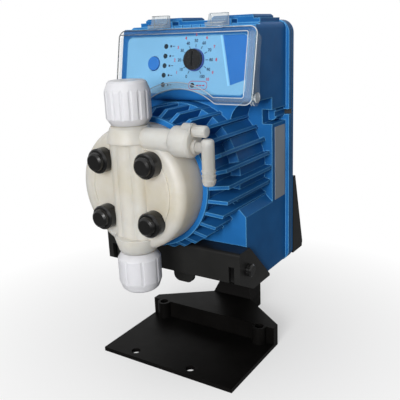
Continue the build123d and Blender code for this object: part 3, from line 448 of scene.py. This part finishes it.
def arc(x, up, r, start, end, steps):
    turns = [start + (end - start) * i / steps for i in range(steps + 1)]
    return [(x + r * cos(radians(a)), up + r * sin(radians(a))) for a in turns]


def bar(x, up, length, width, angle=0.0):
    """Small rectangle centred at (x, up), its length turned by angle degrees."""
    c, s = cos(radians(angle)), sin(radians(angle))
    half, side = length / 2, width / 2
    return [(x + a * c - b * s, up + a * s + b * c)
            for a, b in ((-half, -side), (half, -side), (half, side), (-half, side))]


def oval_frame(x0, x1, up, r, width):
    """Closed ring shaped like a racetrack, as quads between two outlines."""
    def track(radius):
        return arc(x1, up, radius, -90, 90, 8) + arc(x0, up, radius, 90, 270, 8)
    outer, inner = track(r), track(r - width)
    count = len(outer)
    return [[outer[i], outer[(i + 1) % count], inner[(i + 1) % count], inner[i]] for i in range(count)]


def print_shapes(name, outlines, material):
    """Thin prints on the panel: each outline is a closed list of (x, up) points."""
    bm = bmesh.new()
    for outline in outlines:
        bottom = [bm.verts.new(on_panel(x, up, PRINT_LOW)) for x, up in outline]
        top = [bm.verts.new(on_panel(x, up, PRINT_HIGH)) for x, up in outline]
        bm.faces.new(top)
        bm.faces.new(list(reversed(bottom)))
        count = len(outline)
        for i in range(count):
            j = (i + 1) % count
            bm.faces.new((bottom[i], bottom[j], top[j], top[i]))
    bmesh.ops.recalc_face_normals(bm, faces=bm.faces)
    add_piece(name, built_mesh(name, bm), material)


def print_numbers(name, numbers, r, angles, material):
    """Ring of plain numbers round the dial, as one piece."""
    bm = bmesh.new()
    turn = Matrix((panel_right, panel_up, panel_out)).transposed().to_4x4()
    for number, angle in zip(numbers, angles):
        curve = bpy.data.curves.new(name, "FONT")
        curve.body = str(number)
        curve.size = NUMBER_SIZE * MM
        curve.align_x = "CENTER"
        curve.align_y = "CENTER"
        curve.extrude = NUMBER_HALF_THICK * MM
        curve.offset = NUMBER_BOLD * MM
        curve.resolution_u = 3
        mesh = curve_mesh(name, curve)
        mesh.transform(Matrix.Translation(on_panel(*on_ring(r, angle), NUMBER_OUT)) @ turn)
        bm.from_mesh(mesh)
        bpy.data.meshes.remove(mesh)
    add_piece(name, built_mesh(name, bm), material)


def lamp_marks():
    """A square and a dash to the right of each lamp in the row."""
    marks = []
    for i in range(LAMPS):
        x, up = LAMP_X - LAMP_DRIFT * i, LAMP_UP - LAMP_PITCH * i
        marks.append(bar(x + SQUARE_GAP, up, SQUARE, SQUARE))
        marks.append(bar(x + DASH_GAP, up, DASH, LINE_WIDE))
    return marks


royal_mat = moulded("label_royal", tones(ROYAL, 0.95, 1.06), rough=0.3, grain=0.02, spec=0.15)
pale_mat = moulded("label_pale", tones(SKY, 1.3, 1.45, 1.38), rough=0.3, grain=0.02)
ink_mat = moulded("dark_ink", tones(DARK_INK, 0.9, 1.2), rough=0.45, grain=0.02)
red_mat = moulded("red_ink", tones(RED_INK, 0.9, 1.1), rough=0.45, grain=0.02)

band = [(BAND_TOP_X, LABEL_TOP), (BAND_FOOT_X, BAND_LOW_LEFT), (LABEL_RIGHT, BAND_LOW_RIGHT)]
band += arc(LABEL_RIGHT - BAND_ROUND, LABEL_TOP - BAND_ROUND, BAND_ROUND, 0, 90, 6)
print_shapes("label_band", [band], royal_mat)

stripe_top, stripe_foot = BAND_TOP_X + STRIPE_SHIFT, BAND_FOOT_X + STRIPE_SHIFT
stripe = [(stripe_top, LABEL_TOP), (stripe_foot, STRIPE_LOW_LEFT),
          (stripe_foot + STRIPE_WIDE, STRIPE_LOW_RIGHT), (stripe_top + STRIPE_WIDE, LABEL_TOP)]
print_shapes("label_stripe", [stripe], pale_mat)

dial_angles = [90 + DIAL_SPAN / 2 - DIAL_SPAN * i / (DIAL_STEPS - 1) for i in range(DIAL_STEPS)]
tick_r = (TICK_IN + TICK_OUT) / 2
ticks = [bar(*on_ring(tick_r, a), TICK_OUT - TICK_IN, LINE_WIDE, a) for a in dial_angles]
print_shapes("dial_ticks", ticks + lamp_marks(), ink_mat)
print_numbers("dial_numbers", range(0, 10 * DIAL_STEPS, 10), INNER_R, dial_angles, ink_mat)
outer_angles = dial_angles[1:-1] + [dial_angles[-1] + LAST_SHIFT]
print_numbers("dial_outer_numbers", range(1, DIAL_STEPS), OUTER_R, outer_angles, red_mat)

frame_ring = oval_frame(FRAMED_X + FRAME_LEFT, FRAMED_X + FRAME_RIGHT, FRAMED_UP, FRAME_R, FRAME_WIDE)
frame_dashes = [bar(FRAMED_X + FRAME_DASH_GAP + FRAME_DASH_PITCH * i, FRAMED_UP, FRAME_DASH, FRAME_DASH_WIDE)
                for i in range(FRAME_DASHES)]
print_shapes("lamp_frame", frame_ring + frame_dashes, red_mat)

# ------------------------------------------------------------------ cover's glassy edges, as beads with painted highlight and painted reflection
FLAT = 0.98                        # least cosine to the panel's front, on the cover's flat face
SLOPED = (0.4, 0.8)                # on the sloped band round it
SIDEWAYS = (-0.1, 0.2)             # on its walls
SHARP = radians(25)
SAME_POINT = 0.001 * MM
COVER_HALF = 52.0 * MM             # reach of the edges' painted change from grey to bright
FRONT_BEAD, OUTER_BEAD, CLIP_BEAD = 0.28 * MM, 0.35 * MM, 0.25 * MM


def leans(edge):
    """Cosines between the panel's front and the two faces beside an edge, the smaller first."""
    return sorted(f.normal.dot(panel_out) for f in edge.link_faces)


def within(value, limits):
    return limits[0] < value < limits[1]


def on_front_edge(edge):
    """Whether an edge lies between the cover's sloped band and its flat face."""
    away, front = leans(edge)
    return within(away, SLOPED) and front > FLAT


def on_outer_edge(edge):
    """Whether an edge lies between the cover's walls and its sloped band."""
    away, front = leans(edge)
    return within(away, SIDEWAYS) and within(front, SLOPED)


def on_clip(edge):
    """Whether an edge is a sharp one of the clips on top."""
    return edge.calc_face_angle(0.0) > SHARP and min(v.co.z for v in edge.verts) > clip_foot


def neighbours(bm, wanted):
    """For each vertex on the edges that the test picks, the vertices that they join it to."""
    links = {}
    for edge in bm.edges:
        if len(edge.link_faces) == 2 and wanted(edge):
            a, b = edge.verts
            links.setdefault(a.index, []).append(b.index)
            links.setdefault(b.index, []).append(a.index)
    return links


def follow(links, start, used):
    """Vertices from start onwards, each a free neighbour of the last, until there is none."""
    chain = []
    onward = [start]
    while onward:
        used.add(onward[0])
        chain.append(onward[0])
        onward = [j for j in links[chain[-1]] if j not in used]
    return chain


def cover_chains(wanted):
    """Chains of points along the cover's edges that the test picks, each with whether it closes."""
    bm = bmesh.new()
    bm.from_mesh(nodes["clear_cover"].data)
    bmesh.ops.remove_doubles(bm, verts=bm.verts, dist=SAME_POINT)
    links = neighbours(bm, wanted)
    bm.verts.ensure_lookup_table()
    chains, used = [], set()
    open_ends_first = sorted(links, key=lambda i: (len(links[i]) == 2, i))
    for start in open_ends_first:
        chain = [] if start in used else follow(links, start, used)
        if len(chain) > 1:
            closed = len(chain) > 2 and start in links[chain[-1]]
            chains.append(([bm.verts[i].co.copy() for i in chain], closed))
    bm.free()
    return chains


def edge_bead(name, wanted, bead_r, material):
    """Fine bead along the cover's edges that stands in for their glints, painted highlight and painted
    reflection, as one mesh kept below the part's top.
    """
    curve = bpy.data.curves.new(name, "CURVE")
    curve.dimensions = "3D"
    curve.bevel_depth = bead_r
    curve.bevel_resolution = 2
    for points, closed in cover_chains(wanted):
        spline = curve.splines.new("POLY")
        spline.points.add(len(points) - 1)
        for point, co in zip(spline.points, points):
            point.co = (co.x, co.y, min(co.z, part_top - bead_r), 1.0)
        spline.use_cyclic_u = closed
    add_piece(name, curve_mesh(name, curve), material, "cover")


def edge_material():
    """Painted reflection on the clear plastic's edge beads: grey on the left, bright on the right."""
    mat, nt, shader = new_material("clear_edge_glint", 0.08)
    across = value_range(nt, along(nt, "X"), 0.0, 1.0, -COVER_HALF, COVER_HALF)
    dark, middle, bright = GLINT_TONES
    colour = ramp(nt, across, [(0.0, dark), (0.35, middle), (1.0, bright)])
    nt.links.new(colour, shader.inputs["Base Color"])
    nt.links.new(value_range(nt, noise(nt, coords(nt), 160.0), 0.35, 0.9), shader.inputs["Alpha"])
    return mat


# beads with painted highlight and painted reflection along the cover's edges
glint_mat = edge_material()
edge_bead("cover_front_glint", on_front_edge, FRONT_BEAD, glint_mat)
edge_bead("cover_outer_glint", on_outer_edge, OUTER_BEAD, glint_mat)
edge_bead("cover_clip_glint", on_clip, CLIP_BEAD, glint_mat)

# ------------------------------------------------------------------ side label
HOUSING_SIDE = 51.0 * MM
SIDE_LABEL_LOW = Vector((HOUSING_SIDE - 0.1 * MM, 25.0 * MM, 110.0 * MM))
SIDE_LABEL_HIGH = Vector((HOUSING_SIDE + 0.2 * MM, 40.5 * MM, 160.0 * MM))
SIDE_LABEL_ROUND = 0.08 * MM


def rounded_box(name, low, high, round_r, material):
    """Box between two corners, in metres, with all its edges rounded."""
    bm = bmesh.new()
    bmesh.ops.create_cube(bm, size=1.0)
    for v in bm.verts:
        v.co = Vector([low[k] + (v.co[k] + 0.5) * (high[k] - low[k]) for k in range(3)])
    bmesh.ops.bevel(bm, geom=bm.edges[:], offset=round_r, segments=2, affect="EDGES")
    add_piece(name, built_mesh(name, bm), material)


side_mat = moulded("side_label", tones(LABEL_GREY, 0.9, 1.08), rough=0.45, grain=0.03)
rounded_box("side_label", SIDE_LABEL_LOW, SIDE_LABEL_HIGH, SIDE_LABEL_ROUND, side_mat)

# ------------------------------------------------------------------ camera
FOCAL_PIXELS = 577.44              # for an image IMAGE_PIXELS wide
IMAGE_PIXELS = 400.0
SENSOR = 36.0                      # mm
CAMERA_PLACE = Vector((0.2157, -0.3201, 0.2237))
CAMERA_HEADING = 33.2359           # degrees, turned from the part's front towards its right side
CAMERA_TILT = 73.5779              # degrees, up from looking straight down
CAMERA_ROLL = -2.3706              # degrees, about its own line of sight


def make_camera():
    data = bpy.data.cameras.new("photo_camera")
    data.sensor_width = SENSOR
    data.sensor_fit = "HORIZONTAL"
    data.lens = FOCAL_PIXELS / IMAGE_PIXELS * SENSOR
    data.clip_start = 0.01
    cam = bpy.data.objects.new("photo_camera", data)
    scene.collection.objects.link(cam)
    turn = Matrix.Rotation(radians(CAMERA_HEADING), 4, "Z")
    turn @= Matrix.Rotation(radians(CAMERA_TILT), 4, "X")
    turn @= Matrix.Rotation(radians(CAMERA_ROLL), 4, "Z")
    cam.matrix_world = Matrix.Translation(CAMERA_PLACE) @ turn
    scene.camera = cam


make_camera()

# ------------------------------------------------------------------ light
WORLD_LIGHT = 0.10                 # strength of the surroundings on the part, where 1 is how they look
FLOOR_GREY = (0.95, 0.95, 0.95, 1)
FLOOR_HALF = 3.0
FADE_NEAR, FADE_FAR = 0.05, 0.24   # metres from the origin, between which the floor turns to white
GLOW_NEAR, GLOW_FAR = 0.50, 1.0    # share of white in the floor there
GLOW_LIGHT = 0.2                   # strength of that white on the part


def area_light(name, place, target, side, power):
    """Square lamp at a place, facing a target."""
    data = bpy.data.lights.new(name, "AREA")
    data.shape = "SQUARE"
    data.size = side
    data.energy = power
    lamp = bpy.data.objects.new(name, data)
    scene.collection.objects.link(lamp)
    lamp.location = place
    lamp.rotation_euler = (Vector(target) - Vector(place)).to_track_quat("-Z", "Y").to_euler()


def make_world():
    """White surroundings for the camera, in gloss and through clear plastic, and faint as a light."""
    world = bpy.data.worlds.new("studio")
    scene.world = world
    world.use_nodes = True
    nt = world.node_tree
    background = nt.nodes["Background"]
    background.inputs["Color"].default_value = (1, 1, 1, 1)
    ray = nt.nodes.new("ShaderNodeLightPath").outputs
    seen = maths(nt, "ADD", ray["Is Camera Ray"], ray["Is Glossy Ray"], clamp=True)
    seen = maths(nt, "ADD", seen, ray["Is Transmission Ray"], clamp=True)
    nt.links.new(value_range(nt, seen, WORLD_LIGHT, 1.0), background.inputs["Strength"])


def floor_material():
    """Pale floor that fades to the white surroundings away from the part."""
    mat, nt, surface = new_material("floor", 0.9, 0.1)
    socket(surface, "Base Color", FLOOR_GREY)
    glow = nt.nodes.new("ShaderNodeEmission")
    ray = nt.nodes.new("ShaderNodeLightPath").outputs
    nt.links.new(value_range(nt, ray["Is Camera Ray"], GLOW_LIGHT, 1.0), glow.inputs["Strength"])
    away = vector_maths(nt, "LENGTH", coords(nt))
    mix = nt.nodes.new("ShaderNodeMixShader")
    nt.links.new(value_range(nt, away, GLOW_NEAR, GLOW_FAR, FADE_NEAR, FADE_FAR), mix.inputs["Fac"])
    nt.links.new(surface.outputs["BSDF"], mix.inputs[1])
    nt.links.new(glow.outputs["Emission"], mix.inputs[2])
    nt.links.new(mix.outputs["Shader"], nt.nodes["Material Output"].inputs["Surface"])
    return mat


def make_floor():
    mesh = bpy.data.meshes.new("floor")
    corners = [(x * FLOOR_HALF, y * FLOOR_HALF, 0) for x, y in ((-1, -1), (1, -1), (1, 1), (-1, 1))]
    mesh.from_pydata(corners, [], [(0, 1, 2, 3)])
    mesh.materials.append(floor_material())
    floor = bpy.data.objects.new("floor", mesh)
    scene.collection.objects.link(floor)


area_light("key", place=(0.24, -1.0, 0.42), target=(0, -0.02, 0.13), side=0.4, power=11.5)
area_light("top", place=(-0.1, -0.25, 1.0), target=(0, 0, 0.12), side=0.6, power=1.6)
make_world()
make_floor()

scene.view_settings.view_transform = "Standard"
